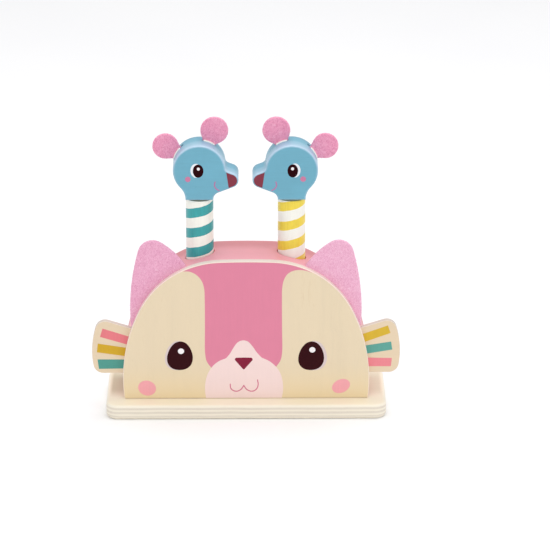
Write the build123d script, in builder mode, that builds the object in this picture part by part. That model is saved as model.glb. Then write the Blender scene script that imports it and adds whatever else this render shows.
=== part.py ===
from build123d import *
import os
from math import radians, sin, tan

# A wooden pop-up toy: an animal-faced block on a base plate, with two sprung mice in its bores.
# Millimetres. The face looks along -Y, +X is to its right as one looks at it, +Z is up, and the
# origin is the centre of the base plate's underside.

os.makedirs("parts", exist_ok=True)

# ------------------------------------------------------------------ driving dimensions
# base plate
base_width = 224.0
base_depth = 80.0
base_thickness = 12.0
base_corner_radius = 10.0
base_edge_break = 1.4

# arch, the outline that the front panel and the block behind it share
arch_width = 197.0
arch_height = 117.0
arch_side_radius = 134.0
arch_side_centre_height = 16.0
arch_top_radius = 600.0
arch_shoulder_radius = 74.0
arch_foot_radius = 2.0

# front panel and block
panel_thickness = 6.0
panel_edge_break = 0.6
block_depth = 44.0
block_edge_break = 1.2

# whisker plates, glued into pockets behind the panel
whisker_thickness = 5.0
whisker_reach = 24.7
whisker_bottom = 20.0
whisker_top = 60.5
whisker_top_slope = 17.6
whisker_bow_radius = 68.7
whisker_bow_height = 38.3
whisker_corner_radius = 5.5
whisker_tongue = 20.0

# cat ears, cut from felt and glued into shallower pockets above the whisker plates
cat_ear_thickness = 3.0
cat_ear_foot_inset = 6.7
cat_ear_foot_gap = 2.0
cat_ear_tip_inset = 17.5
cat_ear_tip_rise = 20.0
cat_ear_tip_radius = 12.0
cat_ear_inner_inset = 51.5
cat_ear_inner_drop = 6.4
cat_ear_outer_bulge = 4.0
cat_ear_inner_bulge = 3.8
cat_ear_tuck = 17.0
pocket_clearance = 0.3

# pegs and the bores that guide them
peg_spacing = 73.0
peg_diameter = 22.0
peg_length = 79.5
peg_end_break = 1.2
bore_clearance = 0.5

# springs, standing on the base plate under the pegs
spring_height = 83.5
spring_wire = 1.0
spring_active_turns = 7
spring_closed_turns = 1
spring_chords_per_turn = 10
spring_wire_sides = 6
spring_bore_clearance = 1.5
spring_seat_gap = 0.05

# mouse heads, flat plates on top of the pegs, measured from the head disc's centre
head_thickness = 25.5
head_radius = 20.7
head_centre_height = 24.5
head_edge_break = 1.2
snout_drop = 8.1
snout_reach = 31.0
snout_nose_radius = 6.1
snout_half_angle = 21.2
neck_fillet = 14.0
throat_fillet = 6.2
brow_fillet = 4.0

# mouse ears, felt discs with a stem in a slot of the head
mouse_fore_ear_radius = 11.0
mouse_rear_ear_radius = 10.3
mouse_fore_ear_angle = 67.0
mouse_rear_ear_angle = 150.0
mouse_ear_offset = 30.8
mouse_ear_set_back = 3.8
mouse_ear_thickness = 3.0
mouse_ear_stem_width = 11.0
mouse_ear_slot_depth = 6.0
ear_slot_clearance = 0.1

# dowel pins that join heads and pegs
pin_diameter = 8.0
pin_length = 24.0
pin_clearance = 0.1
pin_glue_gap = 0.5

# countersunk screws that hold the block to the base plate
screw_length = 32.0
screw_shank_diameter = 4.0
screw_head_diameter = 8.0
screw_cone_angle = 90.0
screw_sink = 0.3
screw_spacing_x = 132.0
screw_spacing_y = 24.0
screw_clearance = 0.25
screw_pilot_clearance = 0.05

# ------------------------------------------------------------------ places worked out from them
toy_depth = panel_thickness + block_depth
panel_front_y = -toy_depth / 2
panel_back_y = panel_front_y + panel_thickness
bore_y = panel_back_y + block_depth / 2
bore_radius = peg_diameter / 2 + bore_clearance
peg_bottom_z = base_thickness + spring_height
neck_z = peg_bottom_z + peg_length
head_centre_z = neck_z + head_centre_height
sides = {"left": -1, "right": 1}
same_size = 0.01
ear_y = bore_y + mouse_ear_set_back
mouse_ears = {
    "fore_ear": (mouse_fore_ear_angle, mouse_fore_ear_radius),
    "rear_ear": (mouse_rear_ear_angle, mouse_rear_ear_radius),
}


def outward_plane(side, y):
    """Upright at depth y, standing on the base plate: its x runs outward on that side."""
    return Plane(origin=(0, y, base_thickness), x_dir=(side, 0, 0), z_dir=(0, -side, 0))


def head_plane(side, y):
    """Upright at depth y, centred on a mouse's head: its x runs the way the mouse looks."""
    centre = (side * peg_spacing / 2, y, head_centre_z)
    return Plane(origin=centre, x_dir=(-side, 0, 0), z_dir=(0, side, 0))


# ------------------------------------------------------------------ outlines
def arch_outline():
    """Two side arcs and a flatter top arc, blended at the shoulders, standing on y = 0."""
    side_centre_x = arch_width / 2 - arch_side_radius
    with BuildSketch() as outline:
        with Locations((-side_centre_x, arch_side_centre_height)):
            Circle(arch_side_radius)
        with Locations((side_centre_x, arch_side_centre_height)):
            Circle(arch_side_radius, mode=Mode.INTERSECT)
        with Locations((0, arch_height - arch_top_radius)):
            Circle(arch_top_radius, mode=Mode.INTERSECT)
        with Locations((0, arch_height)):
            Rectangle(arch_width, 2 * arch_height, mode=Mode.INTERSECT)
        fillet(outline.vertices().group_by(Axis.Y)[-1], arch_shoulder_radius)
        fillet(outline.vertices().group_by(Axis.Y)[0], arch_foot_radius)
    return outline.sketch


def whisker_top_at(x):
    """Height of a whisker plate's sloping top at a distance x from the toy's middle."""
    return whisker_top + (x - arch_width / 2) * tan(radians(whisker_top_slope))


def whisker_outline():
    """A side plate with a sloping top, a bowed outer edge and a tongue that the panel hides."""
    tongue_x = arch_width / 2 - whisker_tongue
    reach_x = arch_width / 2 + whisker_reach
    with BuildSketch() as outline:
        with BuildLine():
            Polyline(
                (tongue_x, whisker_bottom),
                (reach_x, whisker_bottom),
                (reach_x, whisker_top_at(reach_x)),
                (tongue_x, whisker_top_at(tongue_x)),
                close=True,
            )
        make_face()
        with Locations((reach_x - whisker_bow_radius, whisker_bow_height)):
            Circle(whisker_bow_radius, mode=Mode.INTERSECT)
        outer_corners = [outline.vertices().sort_by(Axis.Y)[-1]]
        outer_corners.append(outline.vertices().group_by(Axis.Y)[0].sort_by(Axis.X)[-1])
        fillet(outer_corners, whisker_corner_radius)
    return outline.sketch


def cat_ear_outline():
    """A rounded felt ear with two bowed edges, and the tuck that the panel hides."""
    foot_x = arch_width / 2 - cat_ear_foot_inset
    foot = (foot_x, whisker_top_at(foot_x) + cat_ear_foot_gap)
    tip = (arch_width / 2 - cat_ear_tip_inset, arch_height + cat_ear_tip_rise)
    inner = (arch_width / 2 - cat_ear_inner_inset, arch_height - cat_ear_inner_drop)
    with BuildSketch() as outline:
        with BuildLine():
            SagittaArc(foot, tip, -cat_ear_outer_bulge)
            SagittaArc(tip, inner, -cat_ear_inner_bulge)
            Polyline(
                inner,
                (inner[0], inner[1] - cat_ear_tuck),
                (foot[0] - cat_ear_tuck, foot[1]),
                foot,
            )
        make_face()
        fillet(outline.vertices().sort_by(Axis.Y)[-1], cat_ear_tip_radius)
    return outline.sketch


def snout_outline():
    """A blunt wedge whose rounded tip is the nose, starting inside the head disc."""
    apex_x = snout_reach - snout_nose_radius + snout_nose_radius / sin(radians(snout_half_angle))
    half_height = apex_x * tan(radians(snout_half_angle))
    with BuildSketch() as outline:
        with BuildLine():
            Polyline((0, half_height), (0, -half_height), (apex_x, 0), close=True)
        make_face()
        fillet(outline.vertices().sort_by(Axis.X)[-1], snout_nose_radius)
        with Locations((snout_reach, 0)):
            Rectangle(2 * snout_reach - peg_diameter / 2, 2 * half_height, mode=Mode.INTERSECT)
    return outline.sketch


def head_outline():
    """A mouse head in profile: a disc on a neck as wide as the peg, with its snout."""
    with BuildSketch() as outline:
        Circle(head_radius)
        with Locations((0, -head_centre_height / 2)):
            Rectangle(peg_diameter, head_centre_height)
        with Locations((0, -snout_drop)):
            add(snout_outline())
        fillet(outline.vertices().sort_by(Axis.Y)[-1], brow_fillet)
        for end, radius in ((0, neck_fillet), (-1, throat_fillet)):
            on_neck = outline.vertices().filter_by(lambda v: abs(abs(v.X) - peg_diameter / 2) < same_size)
            side_corners = on_neck.group_by(Axis.X)[end]
            fillet(side_corners.sort_by(Axis.Y)[-1], radius)
    return outline.sketch


def mouse_ear_outline(angle, radius):
    """A disc clear of the head, on a stem that reaches the floor of its slot."""
    stem_start = head_radius - mouse_ear_slot_depth
    with BuildSketch() as outline:
        with PolarLocations(mouse_ear_offset, 1, start_angle=angle):
            Circle(radius)
        with PolarLocations(stem_start, 1, start_angle=angle):
            Rectangle(
                mouse_ear_offset - stem_start,
                mouse_ear_stem_width,
                align=(Align.MIN, Align.CENTER),
            )
    return outline.sketch


def ear_slot_outline(angle):
    """The slot that takes an ear's stem, open at the head's edge."""
    slot_floor = head_radius - mouse_ear_slot_depth
    with BuildSketch() as outline:
        with PolarLocations(slot_floor, 1, start_angle=angle):
            Rectangle(
                2 * mouse_ear_slot_depth,
                mouse_ear_stem_width + 2 * ear_slot_clearance,
                align=(Align.MIN, Align.CENTER),
            )
    return outline.sketch


def save(piece, name):
    """Label a finished piece and write it as its own file."""
    piece.label = name
    export_step(piece, f"parts/{name}.step")


screw_points = GridLocations(screw_spacing_x, screw_spacing_y, 2, 2).locations
screw_places = [Location((place.position.X, bore_y + place.position.Y, 0)) for place in screw_points]

# ------------------------------------------------------------------ base plate
with BuildPart() as base_plate:
    with BuildSketch():
        RectangleRounded(base_width, base_depth, base_corner_radius)
    extrude(amount=base_thickness)
    rims = base_plate.faces().filter_by(Axis.Z).edges()
    chamfer(rims, base_edge_break)
    with Locations(*[place * Location((0, 0, 0), (180, 0, 0)) for place in screw_places]):
        CounterSinkHole(
            radius=screw_shank_diameter / 2 + screw_clearance,
            counter_sink_radius=screw_head_diameter / 2 + screw_sink,
            depth=base_thickness,
            counter_sink_angle=screw_cone_angle,
        )
save(base_plate.part, "base_plate")

# ------------------------------------------------------------------ front panel
with BuildPart() as front_panel:
    with BuildSketch(outward_plane(1, panel_front_y)):
        add(arch_outline())
    extrude(amount=panel_thickness, dir=(0, 1, 0))
    front_rim = front_panel.faces().sort_by(Axis.Y)[0].edges()
    chamfer(front_rim, panel_edge_break)
save(front_panel.part, "front_panel")

# ------------------------------------------------------------------ body block
with BuildPart() as whole_block:
    with BuildSketch(outward_plane(1, panel_back_y)):
        add(arch_outline())
    extrude(amount=block_depth, dir=(0, 1, 0))
    back_rim = whole_block.faces().sort_by(Axis.Y)[-1].edges()
    chamfer(back_rim, block_edge_break)
    # pockets for the ears and the whisker plates, open to the front and to the side
    for side in sides.values():
        with BuildSketch(outward_plane(side, panel_back_y)):
            offset(cat_ear_outline(), pocket_clearance)
        extrude(amount=cat_ear_thickness, dir=(0, 1, 0), mode=Mode.SUBTRACT)
        with BuildSketch(outward_plane(side, panel_back_y)):
            offset(whisker_outline(), pocket_clearance)
        extrude(amount=whisker_thickness, dir=(0, 1, 0), mode=Mode.SUBTRACT)
    # bores for the pegs, drilled right through and closed below by the base plate
    for side in sides.values():
        with Locations((side * peg_spacing / 2, bore_y, base_thickness)):
            Hole(bore_radius)
    # pilot holes for the screws
    with Locations(*[place * Location((0, 0, base_thickness), (180, 0, 0)) for place in screw_places]):
        Hole(
            radius=screw_shank_diameter / 2 + screw_pilot_clearance,
            depth=screw_length - base_thickness + 2 * screw_sink,
        )

# the block is glued up from two boards that meet on the axes of the bores
glue_joint = Plane(origin=(0, bore_y, 0), z_dir=(0, 1, 0))
for board_name, kept in {"body_block_front": Keep.BOTTOM, "body_block": Keep.TOP}.items():
    with BuildPart() as board:
        add(whole_block.part)
        split(bisect_by=glue_joint, keep=kept)
    save(board.part, board_name)

# ------------------------------------------------------------------ cat ears and whisker plates
for side_name, side in sides.items():
    with BuildPart() as cat_ear:
        with BuildSketch(outward_plane(side, panel_back_y)):
            add(cat_ear_outline())
        extrude(amount=cat_ear_thickness, dir=(0, 1, 0))
    save(cat_ear.part, f"{side_name}_cat_ear")

    with BuildPart() as whisker_plate:
        with BuildSketch(outward_plane(side, panel_back_y)):
            add(whisker_outline())
        extrude(amount=whisker_thickness, dir=(0, 1, 0))
    save(whisker_plate.part, f"{side_name}_whisker_plate")

# ------------------------------------------------------------------ springs
spring_radius = bore_radius - spring_bore_clearance - spring_wire / 2
spring_turns = spring_active_turns + 2 * spring_closed_turns
closed_rise = spring_closed_turns * spring_wire
open_rise = spring_height - spring_seat_gap - spring_wire - 2 * closed_rise


def coil_rise(turn):
    """How far the wire has risen: one wire per closed end turn, the rest shared evenly."""
    if turn <= spring_closed_turns:
        return spring_wire * turn
    if turn >= spring_turns - spring_closed_turns:
        return open_rise + spring_wire * (turn - spring_active_turns)
    return closed_rise + open_rise * (turn - spring_closed_turns) / spring_active_turns


for side_name, side in sides.items():
    foot = Vector(side * peg_spacing / 2, bore_y, base_thickness)
    with BuildPart() as spring:
        with BuildLine() as coil:
            coil_points = []
            for step in range(spring_turns * spring_chords_per_turn + 1):
                turn = step / spring_chords_per_turn
                reach = Vector(spring_radius, 0, spring_wire / 2 + coil_rise(turn))
                coil_points.append(foot + reach.rotate(Axis.Z, 360 * turn))
            Polyline(*coil_points)
        with BuildSketch(Plane(origin=coil.line @ 0, z_dir=coil.line % 0)):
            RegularPolygon(spring_wire / 2, spring_wire_sides, major_radius=False)
        sweep(path=coil.line, transition=Transition.RIGHT)
        # the ends are ground flat
        with Locations(foot):
            Cylinder(
                bore_radius,
                spring_height - spring_seat_gap,
                align=(Align.CENTER, Align.CENTER, Align.MIN),
                mode=Mode.INTERSECT,
            )
    save(spring.part, f"{side_name}_spring")

# ------------------------------------------------------------------ mice
for side_name, side in sides.items():
    axis_x = side * peg_spacing / 2

    with BuildPart() as peg:
        with BuildSketch(Plane.XY.offset(peg_bottom_z)):
            with Locations((axis_x, bore_y)):
                Circle(peg_diameter / 2)
        extrude(amount=peg_length)
        chamfer(peg.edges().sort_by(Axis.Z)[0], peg_end_break)
        with Locations((axis_x, bore_y, neck_z)):
            Hole(pin_diameter / 2 + pin_clearance, depth=pin_length / 2)
    save(peg.part, f"{side_name}_mouse_peg")

    with BuildPart() as head:
        with BuildSketch(head_plane(side, bore_y)):
            add(head_outline())
        extrude(amount=head_thickness / 2, both=True)
        # the two lowest edges, which stand on the peg, stay sharp
        outline_edges = head.faces().filter_by(Axis.Y).edges().sort_by(Axis.Z)
        chamfer(outline_edges[2:], head_edge_break)
        for angle, _ in mouse_ears.values():
            with BuildSketch(head_plane(side, ear_y)):
                add(ear_slot_outline(angle))
            extrude(amount=mouse_ear_thickness / 2 + ear_slot_clearance, both=True, mode=Mode.SUBTRACT)
        with Locations(Location((axis_x, bore_y, neck_z), (180, 0, 0))):
            Hole(pin_diameter / 2 + pin_clearance, depth=pin_length / 2 + pin_glue_gap)
    save(head.part, f"{side_name}_mouse_head")

    with BuildPart() as pin:
        with BuildSketch(Plane.XY.offset(neck_z - pin_length / 2)):
            with Locations((axis_x, bore_y)):
                Circle(pin_diameter / 2)
        extrude(amount=pin_length)
    save(pin.part, f"{side_name}_mouse_pin")

    for ear_name, (angle, radius) in mouse_ears.items():
        with BuildPart() as mouse_ear:
            with BuildSketch(head_plane(side, ear_y)):
                add(mouse_ear_outline(angle, radius))
            extrude(amount=mouse_ear_thickness / 2, both=True)
        save(mouse_ear.part, f"{side_name}_mouse_{ear_name}")

# ------------------------------------------------------------------ base screws
shank = screw_shank_diameter / 2
cone_height = (screw_head_diameter / 2 - shank) / tan(radians(screw_cone_angle / 2))
with BuildPart() as screw:
    with BuildSketch(Plane.XZ):
        with BuildLine():
            Polyline(
                (0, screw_sink),
                (screw_head_diameter / 2, screw_sink),
                (shank, screw_sink + cone_height),
                (shank, screw_sink + screw_length),
                (0, screw_sink + screw_length),
                close=True,
            )
        make_face()
    revolve(axis=Axis.Z)

with BuildPart() as base_screws:
    with Locations(*screw_places):
        add(screw.part)
save(base_screws.part, "base_screws")
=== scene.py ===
import random
from math import acos, atan2, ceil, cos, degrees, dist, hypot, pi, radians, sin, sqrt, tan

import bmesh
import bpy
from mathutils import Matrix, Vector, noise


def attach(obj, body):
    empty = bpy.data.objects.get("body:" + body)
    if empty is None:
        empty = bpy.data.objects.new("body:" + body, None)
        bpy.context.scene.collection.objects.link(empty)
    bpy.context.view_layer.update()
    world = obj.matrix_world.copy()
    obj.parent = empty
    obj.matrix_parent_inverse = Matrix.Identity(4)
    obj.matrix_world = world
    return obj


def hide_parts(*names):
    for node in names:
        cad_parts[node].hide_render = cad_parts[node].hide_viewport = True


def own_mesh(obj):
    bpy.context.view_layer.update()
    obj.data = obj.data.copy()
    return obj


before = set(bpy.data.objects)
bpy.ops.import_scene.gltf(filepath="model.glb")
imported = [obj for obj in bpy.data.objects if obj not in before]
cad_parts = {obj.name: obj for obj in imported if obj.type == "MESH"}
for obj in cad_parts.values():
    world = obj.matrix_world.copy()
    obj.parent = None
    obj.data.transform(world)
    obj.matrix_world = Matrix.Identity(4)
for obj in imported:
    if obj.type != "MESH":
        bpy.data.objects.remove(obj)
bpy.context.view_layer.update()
scene = bpy.context.scene

# A wooden pop-up toy: a cat-faced block on a plywood base, with two sprung mice in its bores.
# Outlines and places are in millimetres, as the solids have them, and meshes are made in metres.
MM = 0.001

# --- sizes shared with the solids
BASE = (224.0, 80.0, 12.0)
BASE_CORNER = 10.0
ARCH_HALF, ARCH_HEIGHT = 98.5, 117.0
SIDE_RADIUS, SIDE_CENTRE_Z = 134.0, 16.0
TOP_RADIUS, SHOULDER_RADIUS, FOOT_RADIUS = 600.0, 74.0, 2.0
PANEL_FRONT, PANEL_BACK, BLOCK_BACK = -25.0, -19.0, 25.0
BORE_X, BORE_Y, BORE_RADIUS = 36.5, 3.0, 11.5
PEG_RADIUS, PEG_BOTTOM, PEG_LENGTH, PEG_CHAMFER = 11.0, 95.5, 79.5, 1.4
NECK_Z = PEG_BOTTOM + PEG_LENGTH
HEAD_RADIUS, HEAD_RISE, HEAD_HALF = 20.7, 24.5, 12.75
HEAD_Z = NECK_Z + HEAD_RISE
SNOUT_DROP, SNOUT_REACH, NOSE_RADIUS, SNOUT_ANGLE = 8.1, 31.0, 6.1, 21.2
BROW_FILLET, THROAT_FILLET, NAPE_FILLET = 4.0, 6.2, 14.0
WHISKER = {"bottom": 20.0, "top": 60.5, "slope": 17.6, "reach": 24.7, "tongue": 20.0, "deep": 5.0}
WHISKER_BOW, WHISKER_BOW_Z, WHISKER_CORNER = 68.7, 38.3, 8.0
# the cat ear's points: in from the arch's side, and up from the whisker's edge (foot) or the arch's top
CAT_EAR = {
    "foot": (6.7, 2.0), "tip": (17.5, 20.0), "inner": (51.5, -6.4), "bows": (4.0, 3.8), "tuck": 17.0
}
EAR_DEEP, EAR_TIP_RADIUS = 3.0, 12.0
MOUSE_EAR = {"offset": 30.8, "stem": 11.0, "slot": 6.0, "thick": 3.0, "back": 3.8}
MOUSE_EARS = {"fore_ear": (67.0, 11.0), "rear_ear": (150.0, 10.3)}
SPRING_HEIGHT, SPRING_WIRE, SPRING_RADIUS, SPRING_ACTIVE = 83.45, 1.0, 9.5, 7
SCREW_SPACING = (132.0, 24.0)
SIDES = {"left": -1, "right": 1}

# --- details that only the scene has
# the roundings of each piece's edges, at its near and its far face where they differ
BASE_ROUND, PANEL_ROUND, BLOCK_ROUND = (3.2, 2.4), (0.6, 0.25), (0.0, 1.2)
HEAD_ROUND, FELT_ROUND, WHISKER_ROUND = 1.7, 0.8, 0.5
BORE_LIP, LIP_STEP_DEGREES = 0.7, 12
PRINT_MARGIN = 0.62
INK_SUNK, INK_FIRST, INK_STEP = 0.03, 0.03, 0.008
WHISKER_FRONT, EAR_FRONT = PANEL_BACK + 0.02, PANEL_BACK + 0.05
# the narrower ring under a mouse's head, painted dark as the head's shadow: (inward, up from the neck, rim)
NECK_RING = [(0.0, -1.9, 0), (0.12, -1.7, 1), (0.35, -1.6, 0), (0.35, 0.0, 0)]
PIN_SOCKET = {"radius": 4.05, "deep": 12.0}
EAR_SLOT = {"play": 0.1, "half_deep": 1.62, "beyond": 4.0, "rear_longer": 2.4}
GLUE_BEAD = {"width": 1.6, "half_angle": 11.0, "before": 1.9, "behind": 0.3, "round": 0.7}
CAT_FELT = {"voxel": 0.55, "ripple": 0.16, "fibres": 1500, "fibre_length": 2.2}
MOUSE_FELT = {"voxel": 0.42, "ripple": 0.14, "fibres": 420, "fibre_length": 1.7}
# (height, waves per millimetre) of the felt's ripples
FELT_WAVES = [(0.3, 0.55), (0.6, 1.5), (0.12, 0.17)]
SPRING_POINTS_PER_TURN, SPRING_SIDES = 56, 12
# how many flats each turned shape is made of
FLATS = {"screw_hole": 40, "bore": 112, "peg": 120, "socket": 48, "screw": 48}
SCREW_HOLE = [(4.35, -0.05), (2.25, 2.05), (2.25, BASE[2] + 1)]
SCREW = [(2.0, 0.32), (3.7, 0.32), (4.0, 0.42), (4.0, 0.55), (2.0, 2.5), (2.0, 31.6), (1.2, 32.2)]
SCREW_ARM = [(0.5, -2.2), (0.5, -0.5), (2.2, -0.5)]
SHARP_ANGLE, SCREW_SHARP_ANGLE, SPRING_SHARP_ANGLE = 38.0, 30.0, 60.0
MITRE_LIMIT = 0.5
random.seed(11)


# --- flat outlines
def unit(x, y):
    size = hypot(x, y)
    return x / size, y / size


def heading(start, end):
    return unit(end[0] - start[0], end[1] - start[1])


def shifted(point, way, by):
    return point[0] + way[0] * by, point[1] + way[1] * by


def between(a, b, share):
    return a[0] + (b[0] - a[0]) * share, a[1] + (b[1] - a[1]) * share


def turned(points, angle):
    c, s = cos(radians(angle)), sin(radians(angle))
    return [(x * c - y * s, x * s + y * c) for x, y in points]


def arc(centre, radius, start, end, step=0.7):
    """Points on an arc from one angle to another, in degrees, either way round."""
    count = max(3, ceil(abs(radians(end - start)) * radius / step))
    angles = [radians(start + (end - start) * i / count) for i in range(count + 1)]
    return [(centre[0] + radius * cos(a), centre[1] + radius * sin(a)) for a in angles]


def angle_of(centre, point):
    return degrees(atan2(point[1] - centre[1], point[0] - centre[0]))


def arc_between(centre, radius, start, end, turn=1, step=0.7):
    """The arc about centre from one point's direction to another's: turn 1 is anticlockwise."""
    first, last = angle_of(centre, start), angle_of(centre, end)
    while turn > 0 and last < first:
        last += 360
    while turn < 0 and last > first:
        last -= 360
    return arc(centre, radius, first, last, step)


def line(*corners, step=2.0):
    """Points along the straight lines from each corner to the next."""
    points = [corners[0]]
    for start, end in zip(corners, corners[1:]):
        count = max(1, ceil(dist(start, end) / step))
        points += [between(start, end, i / count) for i in range(1, count + 1)]
    return points


def joined(*runs):
    """One closed outline from runs of points, without repeats."""
    points = []
    for run in runs:
        for p in run:
            if not points or dist(points[-1], p) > 0.02:
                points.append(p)
    if dist(points[0], points[-1]) < 0.02:
        points.pop()
    return points


def circles_meet(c1, r1, c2, r2, pick):
    """Where two circles cross: pick 1 is the crossing left of the way from c1 to c2."""
    gap = dist(c1, c2)
    along = (r1 * r1 - r2 * r2 + gap * gap) / (2 * gap)
    off = sqrt(r1 * r1 - along * along)
    ux, uy = heading(c1, c2)
    return c1[0] + ux * along - uy * off * pick, c1[1] + uy * along + ux * off * pick


def line_meets_circle(point, way, centre, radius):
    """Where a line leaves a circle, going the line's way."""
    dx, dy = point[0] - centre[0], point[1] - centre[1]
    along = dx * way[0] + dy * way[1]
    root = sqrt(along * along - dx * dx - dy * dy + radius * radius)
    return shifted(point, way, root - along)


def on_circle(centre, radius, towards):
    return shifted(centre, heading(centre, towards), radius)


def spline(points, closed=False, step=0.5):
    """A smooth curve through the points (centripetal Catmull-Rom)."""
    n = len(points)
    out = []
    for i in range(n if closed else n - 1):
        near = range(i - 1, i + 3)
        p = [points[k % n] if closed else points[min(max(k, 0), n - 1)] for k in near]
        if p[0] == p[1]:
            p[0] = (2 * p[1][0] - p[2][0], 2 * p[1][1] - p[2][1])
        if p[3] == p[2]:
            p[3] = (2 * p[2][0] - p[1][0], 2 * p[2][1] - p[1][1])
        t = [0.0]
        for k in range(3):
            t.append(t[-1] + sqrt(dist(p[k], p[k + 1])))
        count = max(2, ceil(dist(p[1], p[2]) / step))
        for j in range(count):
            s = t[1] + (t[2] - t[1]) * j / count
            a = [between(p[k], p[k + 1], (s - t[k]) / (t[k + 1] - t[k])) for k in range(3)]
            b = [between(a[k], a[k + 1], (s - t[k]) / (t[k + 2] - t[k])) for k in range(2)]
            out.append(between(b[0], b[1], (s - t[1]) / (t[2] - t[1])))
    if not closed:
        out.append(points[-1])
    return out


def ellipse(x, y, rx, ry, count=56, lean=0.0):
    """Points on an ellipse; a lean lifts its right side."""
    turns = [2 * pi * i / count for i in range(count)]
    return [(x + rx * cos(t), y + ry * sin(t) + lean * rx * cos(t)) for t in turns]


def rounded(corners, radii, step=0.3):
    """A polygon whose corners are rounded."""
    runs = []
    for i, (corner, radius) in enumerate(zip(corners, radii)):
        u, v = heading(corner, corners[i - 1]), heading(corner, corners[(i + 1) % len(corners)])
        half = acos(max(-1, min(1, u[0] * v[0] + u[1] * v[1]))) / 2
        start, end = [shifted(corner, way, radius / tan(half)) for way in (u, v)]
        centre = shifted(corner, unit(u[0] + v[0], u[1] + v[1]), radius / sin(half))
        a, b = heading(centre, start), heading(centre, end)
        turn = 1 if a[0] * b[1] > a[1] * b[0] else -1
        runs.append(arc_between(centre, radius, start, end, turn, step))
    return joined(*runs)


def ribbon(path, width):
    """The outline of a line of that width along a path, with round ends."""
    half = width / 2
    left, right = [], []
    for i, point in enumerate(path):
        ux, uy = heading(path[max(i - 1, 0)], path[min(i + 1, len(path) - 1)])
        left.append(shifted(point, (-uy, ux), half))
        right.append(shifted(point, (-uy, ux), -half))
    end_cap = arc_between(path[-1], half, right[-1], left[-1], step=0.15)
    start_cap = arc_between(path[0], half, left[0], right[0], step=0.15)
    return joined(right, end_cap, left[::-1], start_cap)


SIDE_CENTRE = (ARCH_HALF - SIDE_RADIUS, SIDE_CENTRE_Z)
TOP_CENTRE = (0.0, ARCH_HEIGHT - TOP_RADIUS)
SHOULDER = circles_meet(
    SIDE_CENTRE, SIDE_RADIUS - SHOULDER_RADIUS, TOP_CENTRE, TOP_RADIUS - SHOULDER_RADIUS, 1
)


def arch_top(x):
    """The arch's height at a distance x from the middle, over its top and its shoulders."""
    if abs(x) < SHOULDER[0] * TOP_RADIUS / (TOP_RADIUS - SHOULDER_RADIUS):
        return TOP_CENTRE[1] + sqrt(TOP_RADIUS**2 - x * x)
    return SHOULDER[1] + sqrt(SHOULDER_RADIUS**2 - (abs(x) - SHOULDER[0]) ** 2)


def arch_outline(margin=0.0):
    """The panel's and the block's outline, anticlockwise, standing on y = 0."""
    reach = sqrt((SIDE_RADIUS - FOOT_RADIUS) ** 2 - (SIDE_CENTRE_Z - FOOT_RADIUS) ** 2)
    foot = (SIDE_CENTRE[0] + reach, FOOT_RADIUS)
    side_start, side_end = angle_of(SIDE_CENTRE, foot), angle_of(SIDE_CENTRE, SHOULDER)
    top_start = angle_of(TOP_CENTRE, SHOULDER)
    half = joined(
        line((0.0, margin), (foot[0], margin), step=4.0),
        arc(foot, FOOT_RADIUS - margin, -90, side_start, 0.3),
        arc(SIDE_CENTRE, SIDE_RADIUS - margin, side_start, side_end, 0.9),
        arc(SHOULDER, SHOULDER_RADIUS - margin, side_end, top_start, 0.7),
        arc(TOP_CENTRE, TOP_RADIUS - margin, top_start, 90, 1.5),
    )
    return joined(half, [(-x, y) for x, y in reversed(half)])


def whisker_outline():
    """A side plate: u runs outward from the toy's middle."""
    tongue, reach = ARCH_HALF - WHISKER["tongue"], ARCH_HALF + WHISKER["reach"]
    bow = (reach - WHISKER_BOW, WHISKER_BOW_Z)
    r, slope = WHISKER_CORNER, radians(WHISKER["slope"])
    way, inward = (cos(slope), sin(slope)), (sin(slope), -cos(slope))
    low = line_meets_circle((0, WHISKER["bottom"] + r), (1, 0), bow, WHISKER_BOW - r)
    high = line_meets_circle(shifted((ARCH_HALF, WHISKER["top"]), inward, r), way, bow, WHISKER_BOW - r)
    low_start, high_end = (low[0], WHISKER["bottom"]), shifted(high, inward, -r)
    low_tongue = (tongue, WHISKER["bottom"])
    high_tongue = (tongue, WHISKER["top"] - WHISKER["tongue"] * tan(slope))
    return joined(
        line(low_tongue, low_start),
        arc_between(low, r, low_start, on_circle(bow, WHISKER_BOW, low), step=0.4),
        arc_between(bow, WHISKER_BOW, low, high, step=0.8),
        arc_between(high, r, on_circle(bow, WHISKER_BOW, high), high_end, step=0.4),
        line(high_end, high_tongue, low_tongue),
    )


def bowed(start, end, sagitta):
    """The circle of an arc that bulges to the right of the way from start to end."""
    radius = (sagitta**2 + dist(start, end) ** 2 / 4) / (2 * sagitta)
    ux, uy = heading(start, end)
    return shifted(between(start, end, 0.5), (-uy, ux), radius - sagitta), radius


def cat_ear_outline():
    """A felt ear with two bowed edges and the tuck that the panel hides."""
    slope = tan(radians(WHISKER["slope"]))
    foot_in, foot_up = CAT_EAR["foot"]
    foot = (ARCH_HALF - foot_in, WHISKER["top"] - foot_in * slope + foot_up)
    tip, inner = [(ARCH_HALF - x, ARCH_HEIGHT + y) for x, y in (CAT_EAR["tip"], CAT_EAR["inner"])]
    outer_bow, inner_bow = bowed(foot, tip, CAT_EAR["bows"][0]), bowed(tip, inner, CAT_EAR["bows"][1])
    r = EAR_TIP_RADIUS
    near_tip = (outer_bow[0], outer_bow[1] - r, inner_bow[0], inner_bow[1] - r)
    crown = min([circles_meet(*near_tip, pick) for pick in (1, -1)], key=lambda c: dist(c, tip))
    under_inner, under_foot = (inner[0], inner[1] - CAT_EAR["tuck"]), (foot[0] - CAT_EAR["tuck"], foot[1])
    return joined(
        arc_between(*outer_bow, foot, crown),
        arc_between(crown, r, on_circle(*outer_bow, crown), on_circle(*inner_bow, crown), step=0.5),
        arc_between(*inner_bow, crown, inner),
        line(inner, under_inner, under_foot, foot),
    )


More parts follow.
